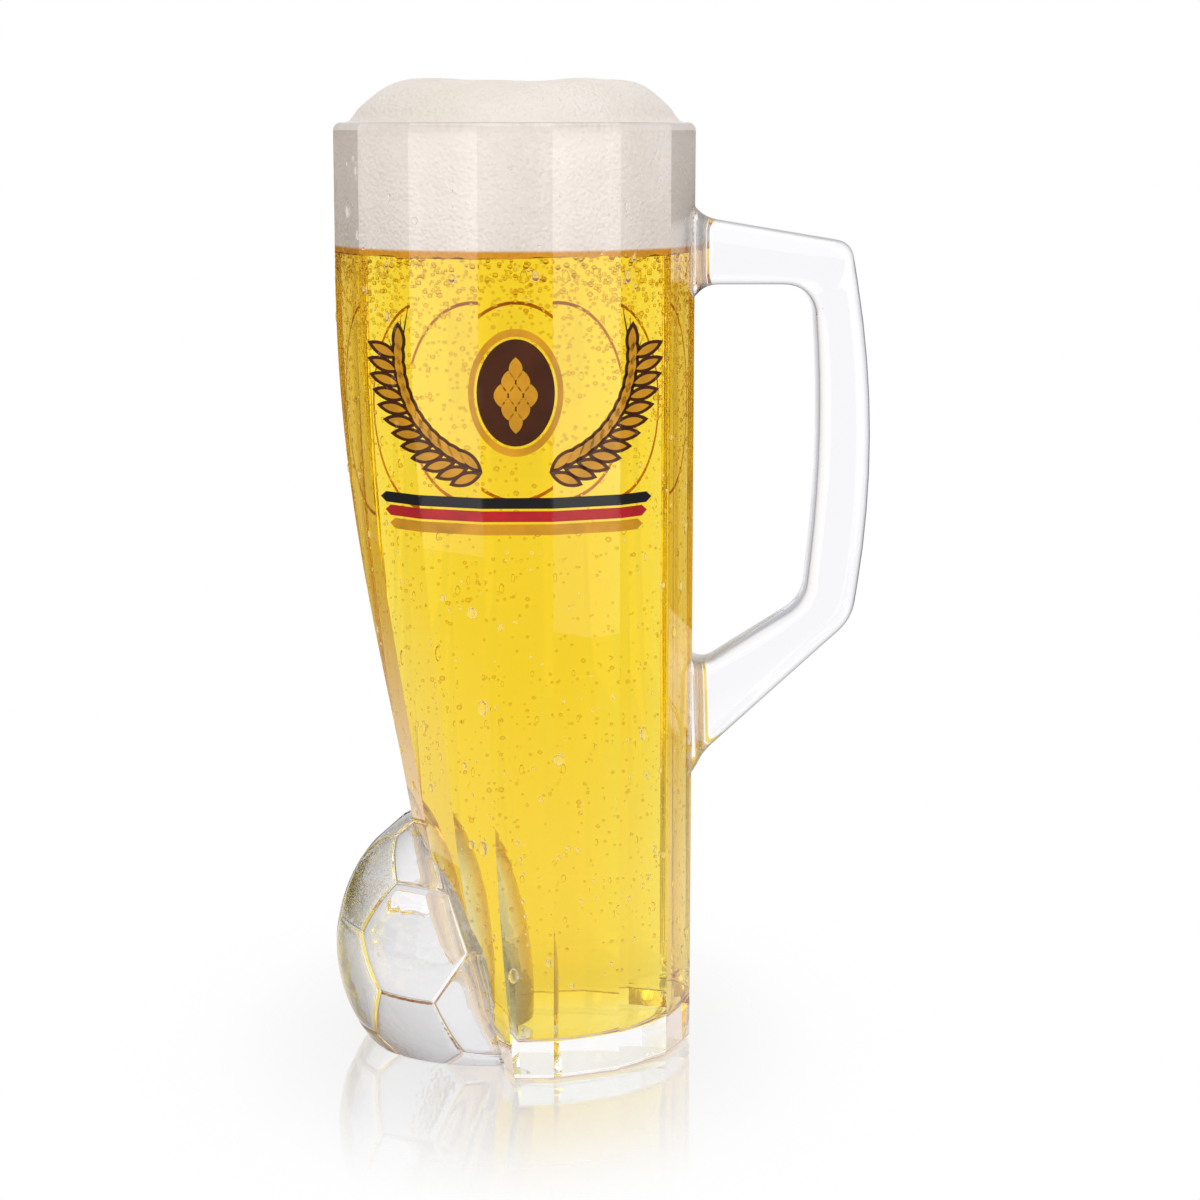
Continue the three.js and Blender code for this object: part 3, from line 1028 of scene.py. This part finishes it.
def add_panel(bm, panel):
    """One panel of the football, rounded down into a groove along its seams."""
    radius = mug_size("ball_radius")
    depth = mug_size("seam_depth")
    middle = unit(sum(panel))
    border = []
    for a, b in zip(panel, panel[1:] + panel[:1]):
        border += [unit(a + (b - a) * k / PANEL_SIDE_STEPS) for k in range(PANEL_SIDE_STEPS)]
    reach = math.acos(panel[0] @ middle) * radius
    material = 1 if len(panel) == 5 else 0
    rows = []
    for away in PANEL_ROWS:
        drop = depth * (0.5 + 0.5 * math.cos(math.pi * min(away, 1)))
        row = []
        for point in border:
            moved = unit(point + (middle - point) * away * SEAM_HALF / reach)
            row.append(bm.verts.new(Vector(moved * (radius - drop)) * MM))
        rows.append(row)
    skin(bm, rows, material)
    centre = bm.verts.new(Vector(middle * radius) * MM)
    for i in range(len(border)):
        face = bm.faces.new((rows[-1][i], rows[-1][(i + 1) % len(border)], centre))
        face.material_index = material


def glass_ball():
    """The football, cut flat where it stands."""
    bm = bmesh.new()
    for panel in ball_panels():
        add_panel(bm, panel)
    bmesh.ops.remove_doubles(bm, verts=bm.verts, dist=SEAM_WELD * MM)
    place = Matrix.Translation(Vector((-mug_size("ball_offset"), 0, mug_size("ball_height"))) * MM)
    bmesh.ops.transform(bm, matrix=place, verts=bm.verts)
    cut = bmesh.ops.bisect_plane(
        bm,
        geom=bm.verts[:] + bm.edges[:] + bm.faces[:],
        plane_co=(0, 0, 0),
        plane_no=(0, 0, -1),
        clear_outer=True,
    )
    edges = [part for part in cut["geom_cut"] if isinstance(part, bmesh.types.BMEdge)]
    bmesh.ops.contextual_create(bm, geom=edges)
    bmesh.ops.recalc_face_normals(bm, faces=bm.faces)
    return object_from("football_glass", bm)


class MUG_OT_football(bpy.types.Operator):
    """Makes the football, melted into the foot of the body"""

    bl_idname = "mug.football"
    bl_label = "Glass football"

    def execute(self, context):
        ball = glass_ball()
        ball.data.materials.append(clear_glass())
        ball.data.materials.append(stippled_glass())
        cut_away(ball, outer_solid("cutter", GLASS_MELT))
        finish_piece(ball, (), 30, ("football",))
        return {"FINISHED"}


# Drink


class MUG_OT_beer(bpy.types.Operator):
    """Fills the mug with beer"""

    bl_idname = "mug.beer"
    bl_label = "Beer"

    def execute(self, context):
        beer = hollow("beer_fill", -BEER_MELT, mug_size("beer_level"))
        finish_piece(beer, (beer_material(),), 40, ("beer",))
        return {"FINISHED"}


def dome_height(radius, angle):
    """Height of the foam above the rim: a dimpled crown, a soft shoulder and a hollow skirt."""
    crown = 1 - DOME_DIMPLE * (1 - math.sin(min(1, radius / DIMPLE_WIDTH) * math.pi / 2))
    fall = 1 / (1 + math.exp((radius - DOME_FALL) / DOME_SOFTNESS))
    hump = BROAD_HUMP * math.cos(2 * angle + 0.4) + FINE_HUMP * math.cos(5 * angle + radius * 0.2)
    return mug_size("dome_rise") * fall * (crown + hump * min(1, radius / DOME_SHOULDER))


class MUG_OT_foam(bpy.types.Operator):
    """Raises the head of foam on the beer"""

    bl_idname = "mug.foam"
    bl_label = "Foam head"

    def execute(self, context):
        lip = mug_size("wall") / 2
        top = mug_size("height") - lip
        bottom = mug_size("beer_level") - WET_FOAM
        rings = [(z, inner_ring(z, -FOAM_MELT)) for z in np.linspace(bottom, top, FOAM_WALL_STEPS)]
        for turn in np.linspace(0, FOAM_BRIM, FOAM_BRIM_STEPS)[1:]:
            z = top + lip * math.sin(turn)
            rings.append((z, inner_ring(z, -FOAM_MELT - lip * (1 - math.cos(turn)))))
        rim_height, rim = rings[-1]
        edge = math.hypot(*rim[0])
        bm = bmesh.new()
        rows = [row_at(bm, z, points) for z, points in rings]
        froth = np.random.default_rng(3)
        for vert in rows[0]:
            vert.co.z -= froth.uniform(0, WET_FOAM) * MM
        for share in np.linspace(1, 0, FOAM_DOME_STEPS)[1:-1]:
            row = []
            for x, y in rim:
                radius = edge * share
                level = rim_height + (mug_size("height") - rim_height) * min(1, (edge - radius) / lip)
                skirt = min(1, (edge - radius) / FOAM_SKIRT)
                z = level + skirt**2 * (3 - 2 * skirt) * dome_height(radius, math.atan2(y, x))
                row.append(bm.verts.new((x * share * MM, y * share * MM, z * MM)))
            rows.append(row)
        skin(bm, rows)
        close_ends(bm, rows)
        foam = object_from("foam_crown", bm)
        finish_piece(foam, (foam_material(),), 60, ("foam_head",))
        return {"FINISHED"}


# Enamel print


def on_panel(x, z, side, lift):
    """Point on the outside of the glass, at a place seen from the front (side -1) or the back (1)."""
    corners = outer_ring(z, -lift)
    for (x0, y0), (x1, y1) in zip(corners, corners[1:] + corners[:1]):
        if min(y0 * side, y1 * side) > 0 and min(x0, x1) <= x <= max(x0, x1):
            return Vector((x, y0 + (y1 - y0) * (x - x0) / (x1 - x0), z)) * MM
    raise RuntimeError(f"the print leaves the glass at {x:.1f}, {z:.1f}")


class Print:
    """Enamel motifs laid on the panels of one side, in one mesh."""

    def __init__(self, side=-1, coats=1):
        self.bm = bmesh.new()
        self.side = side
        self.lift = coats * mug_size("print_lift")

    def patch(self, rows, material):
        """Enamel through rows of (x, z) points."""
        made = [[self.bm.verts.new(on_panel(x, z, self.side, self.lift)) for x, z in row] for row in rows]
        for lower, upper in zip(made, made[1:]):
            for i in range(len(lower) - 1):
                face = self.bm.faces.new((lower[i], lower[i + 1], upper[i + 1], upper[i]))
                face.material_index = material

    def bar(self, half, low, high, material):
        """Straight bar with pointed ends."""
        rows = []
        for t in np.linspace(-1, 1, 5):
            reach = half - abs(t) * (high - low) / 2
            z = low + (high - low) * (t + 1) / 2
            rows.append([(x, z) for x in np.linspace(-reach, reach, 80)])
        self.patch(rows, material)

    def leaf(self, x, z, angle, size, half, material):
        """Grain or leaf, pointed at both ends, along an angle."""
        along = np.array((math.cos(angle), math.sin(angle)))
        over = np.array((-along[1], along[0]))
        rows = []
        for t in np.linspace(0, 1, 9):
            wide = half * math.sin(math.pi * t) ** 0.8
            middle = np.array((x, z)) + along * t * size
            rows.append([middle + over * wide * v for v in np.linspace(-1, 1, 5)])
        self.patch(rows, material)

    def oval(self, z, wide, tall, inner, material):
        """Oval on the middle line, or an oval band where inner is near one."""
        rows = []
        for share in np.linspace(inner, 1, 8):
            turns = np.linspace(0, 2 * math.pi, 61)
            rows.append([(wide * share * math.cos(t), z + tall * share * math.sin(t)) for t in turns])
        self.patch(rows, material)


GOLD, BROWN, RED, BLACK = range(4)


def barley_side(motif, hearts, mirror):
    """One side of the wreath: an ear of barley that bends up and outwards, with gold in its grains."""

    def on_stem(t, bend=1.0):
        """Point at a share of the stem's length."""
        quarter = t * math.pi / 2
        out = WREATH_WIDTH * math.sin(quarter) ** bend
        return mirror * out, WREATH_LOW + WREATH_HEIGHT * (1 - math.cos(quarter)) * STEM_RISE

    for t in np.linspace(STEM_BARE, 1, GRAIN_PAIRS):
        x, z = on_stem(t, STEM_BEND)
        heading = t * STEM_TURN
        for lean in (GRAIN_LEAN, -GRAIN_LEAN):
            angle = heading + lean if mirror > 0 else math.pi - heading - lean
            motif.leaf(x, z, angle, GRAIN_SIZE, GRAIN_HALF, BROWN)
            heart_x = x + HEART_START * math.cos(angle)
            heart_z = z + HEART_START * math.sin(angle)
            hearts.leaf(heart_x, heart_z, angle, HEART_SIZE, HEART_HALF, GOLD)
    for awn in range(AWNS):
        heading = AWN_UP - AWN_FAN * awn
        angle = heading if mirror > 0 else math.pi - heading
        motif.leaf(*on_stem(1 - AWN_STEP * awn), angle, AWN_SIZE, AWN_HALF, BROWN)


class MUG_OT_enamel(bpy.types.Operator):
    """Prints a barley wreath, a hop badge and colour bars on the front, and a plain oval on the back"""

    bl_idname = "mug.enamel"
    bl_label = "Enamel print"

    def execute(self, context):
        materials = (
            enamel_material("gold"),
            enamel_material("brown", metallic=0.3),
            enamel_material("red"),
            enamel_material("black"),
        )
        wreath = Print()
        for step, material in enumerate((GOLD, RED, BLACK)):
            low = BARS_LOW + step * (BAR_HEIGHT + BAR_GAP)
            wreath.bar(BARS_HALF + step, low, low + BAR_HEIGHT, material)
        hearts = Print(coats=2)
        for mirror in (-1, 1):
            barley_side(wreath, hearts, mirror)
        badge = Print(coats=2)
        badge.oval(BADGE_HEIGHT, BADGE_WIDE, BADGE_TALL, BADGE_BAND, GOLD)
        field_wide, field_tall = BADGE_FIELD
        badge.oval(BADGE_HEIGHT, BADGE_WIDE * field_wide, BADGE_TALL * field_tall, 0.01, BROWN)
        cone = Print(coats=3)
        for row, scales in enumerate(HOP_ROWS):
            z = BADGE_HEIGHT + HOP_SCALE * (HOP_TOP - row * HOP_STEP)
            for k in range(scales):
                x = (k - (scales - 1) / 2) * HOP_SCALE * HOP_SPREAD
                cone.leaf(x, z, -math.pi / 2, HOP_SCALE, HOP_HALF * HOP_SCALE, GOLD)
        crest = Print(side=1)
        crest.oval(CREST_HEIGHT, CREST_WIDE, CREST_TALL, CREST_BAND, GOLD)
        prints = {
            "barley_print": wreath,
            "grain_print": hearts,
            "badge_print": badge,
            "hop_print": cone,
            "back_print": crest,
        }
        for name, motif in prints.items():
            finish_piece(object_from(name, motif.bm), materials, 30)
        return {"FINISHED"}


# Dew and bubbles


def beads(name, places, rounds):
    """Many small beads in one mesh: (point, facing, wide, tall, thick) each, in millimetres."""
    source = bmesh.new()
    bmesh.ops.create_icosphere(source, subdivisions=rounds, radius=1.0)
    shape = np.array([vert.co for vert in source.verts])
    faces = np.array([[vert.index for vert in face.verts] for face in source.faces])
    source.free()
    points = []
    triangles = []
    for number, (point, facing, wide, tall, thick) in enumerate(places):
        facing = unit(np.array(facing))
        side = unit(np.cross((0, 0, 1), facing))
        axes = np.column_stack((side * wide, np.cross(facing, side) * tall, facing * thick))
        points.append((shape @ axes.T + np.array(point)) * MM)
        triangles.append(faces + number * len(shape))
    mesh = bpy.data.meshes.new(name)
    mesh.from_pydata(np.concatenate(points).tolist(), [], np.concatenate(triangles).tolist())
    return place_object(name, mesh)


def is_bare_glass(point):
    """Whether dew can settle there: not under the football, a root of the handle or the print."""
    ball = np.array((-mug_size("ball_offset"), 0, mug_size("ball_height")))
    by_ball = np.linalg.norm(point - ball) < mug_size("ball_radius") + DRY_BALL
    x, y, z = point
    at_root = x > DRY_ROOT_FROM and abs(y) < DRY_ROOT_HALF and DRY_ROOT_SPAN[0] < z < DRY_ROOT_SPAN[1]
    on_print = y < 0 and abs(x) < WREATH_WIDTH and BARS_LOW < z < DRY_PRINT_TOP
    return not (by_ball or at_root or on_print)


class MUG_OT_dew(bpy.types.Operator):
    """Settles drops of dew on the cold glass"""

    bl_idname = "mug.dew"
    bl_label = "Dew"

    def execute(self, context):
        random = np.random.default_rng(7)
        places = []
        while len(places) < context.scene.mug_sizes.drops:
            z = random.uniform(*DROP_SPAN)
            corners = outer_ring(z)
            i = random.integers(PANELS)
            a = np.array(corners[i])
            along = np.array(corners[(i + 1) % PANELS]) - a
            point = np.array((*(a + along * random.uniform(*DROP_ACROSS)), z))
            if not is_bare_glass(point):
                continue
            size = float(np.clip(random.lognormal(*DROP_SIZE), *DROP_LIMITS))
            tall = size * random.uniform(1.0, DROP_RUN if size > DROP_RUNS_FROM else DROP_ROUND)
            places.append((point, (along[1], -along[0], 0), size, tall, size * DROP_THICK))
        dew = beads("dew_drops", places, 2)
        finish_piece(dew, (dew_material(),), 60)
        return {"FINISHED"}


class MUG_OT_bubbles(bpy.types.Operator):
    """Hangs rising bubbles in the beer"""

    bl_idname = "mug.bubbles"
    bl_label = "Bubbles"

    def execute(self, context):
        random = np.random.default_rng(11)
        level = mug_size("beer_level") - WET_FOAM
        swell = np.array((SWELL_RADIUS, SWELL_RADIUS, SWELL_RISE)) + BUBBLE_OFF_SWELL
        places = []
        while len(places) < context.scene.mug_sizes.bubbles:
            crowded = random.random() < CROWDED_SHARE
            depth = random.exponential(CROWDED_DEPTH) if crowded else random.uniform(0, level)
            z = level - BUBBLE_UNDER_FOAM - depth
            inset = BUBBLE_OFF_WALL + random.exponential(BUBBLE_STRAY)
            if z < BUBBLE_LOWEST or inset > BUBBLE_DEEPEST:
                continue
            spots = inner_ring(z, inset, BUBBLE_SPOTS)
            x, y = spots[random.integers(BUBBLE_SPOTS)]
            point = np.array((x, y, z))
            if np.linalg.norm((point - np.array(SWELL_CENTRE)) / swell) < 1:
                continue
            typical = CROWDED_SIZE if crowded else LOOSE_SIZE
            size = float(np.clip(random.lognormal(typical, SIZE_SPREAD), *BUBBLE_LIMITS))
            places.append((point, (x, y, BUBBLE_TILT), size * BUBBLE_WIDE, size * BUBBLE_TALL, size))
        bubbles = beads("beer_bubbles", places, 1)
        finish_piece(bubbles, (bubble_material(),), 180)
        return {"FINISHED"}


# Stage


def softbox(name, place, wide, high, power):
    """Soft lamp that faces the mug."""
    lamp = bpy.data.lights.new(name, "AREA")
    lamp.shape = "RECTANGLE"
    lamp.size = wide
    lamp.size_y = high
    lamp.energy = power
    obj = place_object(name, lamp)
    obj.location = place
    obj.rotation_euler = (Vector(LAMP_AIM) - Vector(place)).to_track_quat("-Z", "Y").to_euler()
    obj.visible_camera = False


def distance_from_mug(tree, squeeze=(1, 1, 1)):
    """Distance from the mug's middle on the floor, with its axes squeezed."""
    place = tree.nodes.new("ShaderNodeTexCoord")
    narrow = tree.nodes.new("ShaderNodeVectorMath")
    narrow.operation = "MULTIPLY"
    narrow.inputs[1].default_value = squeeze
    reach = tree.nodes.new("ShaderNodeVectorMath")
    reach.operation = "LENGTH"
    tree.links.new(place.outputs["Object"], narrow.inputs[0])
    tree.links.new(narrow.outputs["Vector"], reach.inputs[0])
    return reach.outputs["Value"]


def flag_material():
    """Dark cloth, thinned out towards the mug."""
    material, shader, output = new_material("dark_cloth", roughness=1.0)
    tree = material.node_tree
    shader.inputs["Base Color"].default_value = (0.06, 0.06, 0.06, 1)
    through = tree.nodes.new("ShaderNodeBsdfTransparent")
    share = fade(tree, distance_from_mug(tree), FLAG_FADE, (0.0, 1.0))
    mixed = blend_shaders(tree, share, through.outputs["BSDF"], shader.outputs["BSDF"])
    tree.links.new(mixed, output.inputs["Surface"])
    return material


def dark_flag(name, bearing, material):
    """Dark sheet that the glass mirrors, so that it stays clear: it runs out along the floor, then up."""
    turn = math.radians(bearing)
    out = Vector((math.sin(turn), -math.cos(turn), 0))
    side = Vector((math.cos(turn), math.sin(turn), 0)) * FLAG_WIDTH / 2
    bm = bmesh.new()
    rows = []
    for away, z in ((FLAG_FADE[0], MM), (FLAG_REACH, MM), (FLAG_REACH, FLAG_HEIGHT)):
        middle = out * away + Vector((0, 0, z))
        rows.append((bm.verts.new(middle - side), bm.verts.new(middle + side)))
    for (a, b), (c, d) in zip(rows, rows[1:]):
        bm.faces.new((a, b, d, c))
    obj = object_from(name, bm)
    obj.data.materials.append(material)
    obj.visible_camera = False
    obj.visible_shadow = False
    obj.visible_diffuse = False
    obj.visible_transmission = False


def seen_share(tree):
    """One where the camera, a reflection or a clear piece looks, nought for the light itself."""
    path = tree.nodes.new("ShaderNodeLightPath")
    seen = path.outputs["Is Camera Ray"]
    for ray in ("Is Glossy Ray", "Is Transmission Ray"):
        either = tree.nodes.new("ShaderNodeMath")
        either.operation = "MAXIMUM"
        tree.links.new(seen, either.inputs[0])
        tree.links.new(path.outputs[ray], either.inputs[1])
        seen = either.outputs[0]
    return seen


def floor_material():
    """Pale sheet: takes the mug's shadow and mirrors it close by, and runs out into the white backdrop."""
    material, shader, output = new_material("studio_floor", roughness=0.9)
    tree = material.node_tree
    tint = clouded(tree, mug_colour("floor"), mug_colour("floor", 0.995), 6.0)
    tree.links.new(tint, shader.inputs["Base Color"])
    shader.inputs["Specular IOR Level"].default_value = 0.0
    distance = distance_from_mug(tree, FLOOR_SQUEEZE)
    white = tree.nodes.new("ShaderNodeEmission")
    share = tree.nodes.new("ShaderNodeMath")
    share.operation = "MULTIPLY"
    tree.links.new(seen_share(tree), share.inputs[0])
    tree.links.new(fade(tree, distance, SHADOW_SPAN, SHADOW_WHITE), share.inputs[1])
    pale = blend_shaders(tree, share.outputs[0], shader.outputs["BSDF"], white.outputs["Emission"])
    mirror = tree.nodes.new("ShaderNodeBsdfGlossy")
    mirror.inputs["Roughness"].default_value = 0.02
    near = fade(tree, distance, MIRROR_SPAN, MIRROR_SHARE)
    tree.links.new(blend_shaders(tree, near, pale, mirror.outputs["BSDF"]), output.inputs["Surface"])
    return material


def white_world():
    """Even studio light, with a white backdrop behind the mug and in its glass."""
    world = bpy.data.worlds.new("white_studio")
    bpy.context.scene.world = world
    world.use_nodes = True
    tree = world.node_tree
    tree.nodes.clear()
    light = tree.nodes.new("ShaderNodeBackground")
    output = tree.nodes.new("ShaderNodeOutputWorld")
    light.inputs["Color"].default_value = WHITE
    level = fade(tree, seen_share(tree), (0.0, 1.0), (ROOM_LIGHT, 1.0))
    tree.links.new(level, light.inputs["Strength"])
    tree.links.new(light.outputs["Background"], output.inputs["Surface"])


def photo_camera():
    """Camera at the photograph's viewing angle."""
    lens = bpy.data.cameras.new("photo_camera")
    lens.sensor_width = 36.0
    lens.lens = CAMERA_LENS
    camera = place_object("photo_camera", lens)
    camera.location = CAMERA_PLACE
    camera.rotation_euler = (math.pi / 2 - CAMERA_TILT, 0, -CAMERA_PAN)
    bpy.context.scene.camera = camera


class MUG_OT_stage(bpy.types.Operator):
    """Sets up the floor, the soft lamps, the dark flags, the backdrop and the camera"""

    bl_idname = "mug.stage"
    bl_label = "Stage"

    def execute(self, context):
        bm = bmesh.new()
        bmesh.ops.create_grid(bm, x_segments=2, y_segments=2, size=FLOOR_HALF)
        floor = object_from("studio_floor", bm)
        floor.data.materials.append(floor_material())
        floor.location.z = -FLOOR_DROP
        for name, side in (("softbox_left", -1), ("softbox_right", 1)):
            softbox(name, (side * SIDE_LAMP_OUT, SIDE_LAMP_FRONT, SIDE_LAMP_HEIGHT), **SIDE_LAMP)
        softbox("softbox_top", TOP_LAMP_PLACE, **TOP_LAMP)
        cloth = flag_material()
        for number, bearing in enumerate(FLAG_BEARINGS):
            dark_flag(f"flag_{number}", bearing, cloth)
        white_world()
        photo_camera()
        scene = context.scene
        scene.view_settings.view_transform = "Standard"
        scene.cycles.max_bounces = BOUNCES
        scene.cycles.transmission_bounces = BOUNCES
        scene.cycles.glossy_bounces = BOUNCES
        scene.cycles.transparent_max_bounces = BOUNCES
        return {"FINISHED"}


class MUG_PT_panel(bpy.types.Panel):
    """Sizes, colours and pieces of the mug"""

    bl_label = "Beer mug"
    bl_idname = "MUG_PT_panel"
    bl_space_type = "VIEW_3D"
    bl_region_type = "UI"
    bl_category = "Beer mug"

    def draw(self, context):
        for group in (context.scene.mug_sizes, context.scene.mug_colours):
            box = self.layout.box()
            for name in group.__annotations__:
                box.prop(group, name)
        for operator in OPERATORS:
            self.layout.operator(operator.bl_idname)


OPERATORS = (
    MUG_OT_stage,
    MUG_OT_body,
    MUG_OT_handle,
    MUG_OT_football,
    MUG_OT_beer,
    MUG_OT_foam,
    MUG_OT_enamel,
    MUG_OT_dew,
    MUG_OT_bubbles,
)
CLASSES = (MugSizes, MugColours, *OPERATORS, MUG_PT_panel)


def register():
    """Adds the classes and the scene's settings."""
    for cls in CLASSES:
        bpy.utils.register_class(cls)
    bpy.types.Scene.mug_sizes = PointerProperty(type=MugSizes)
    bpy.types.Scene.mug_colours = PointerProperty(type=MugColours)


def unregister():
    """Takes them away again."""
    del bpy.types.Scene.mug_colours
    del bpy.types.Scene.mug_sizes
    for cls in reversed(CLASSES):
        bpy.utils.unregister_class(cls)


def main():
    """Builds every piece."""
    register()
    bpy.ops.mug.stage()
    bpy.ops.mug.body()
    bpy.ops.mug.handle()
    bpy.ops.mug.football()
    bpy.ops.mug.beer()
    bpy.ops.mug.foam()
    bpy.ops.mug.enamel()
    bpy.ops.mug.dew()
    bpy.ops.mug.bubbles()


if __name__ == "__main__":
    main()
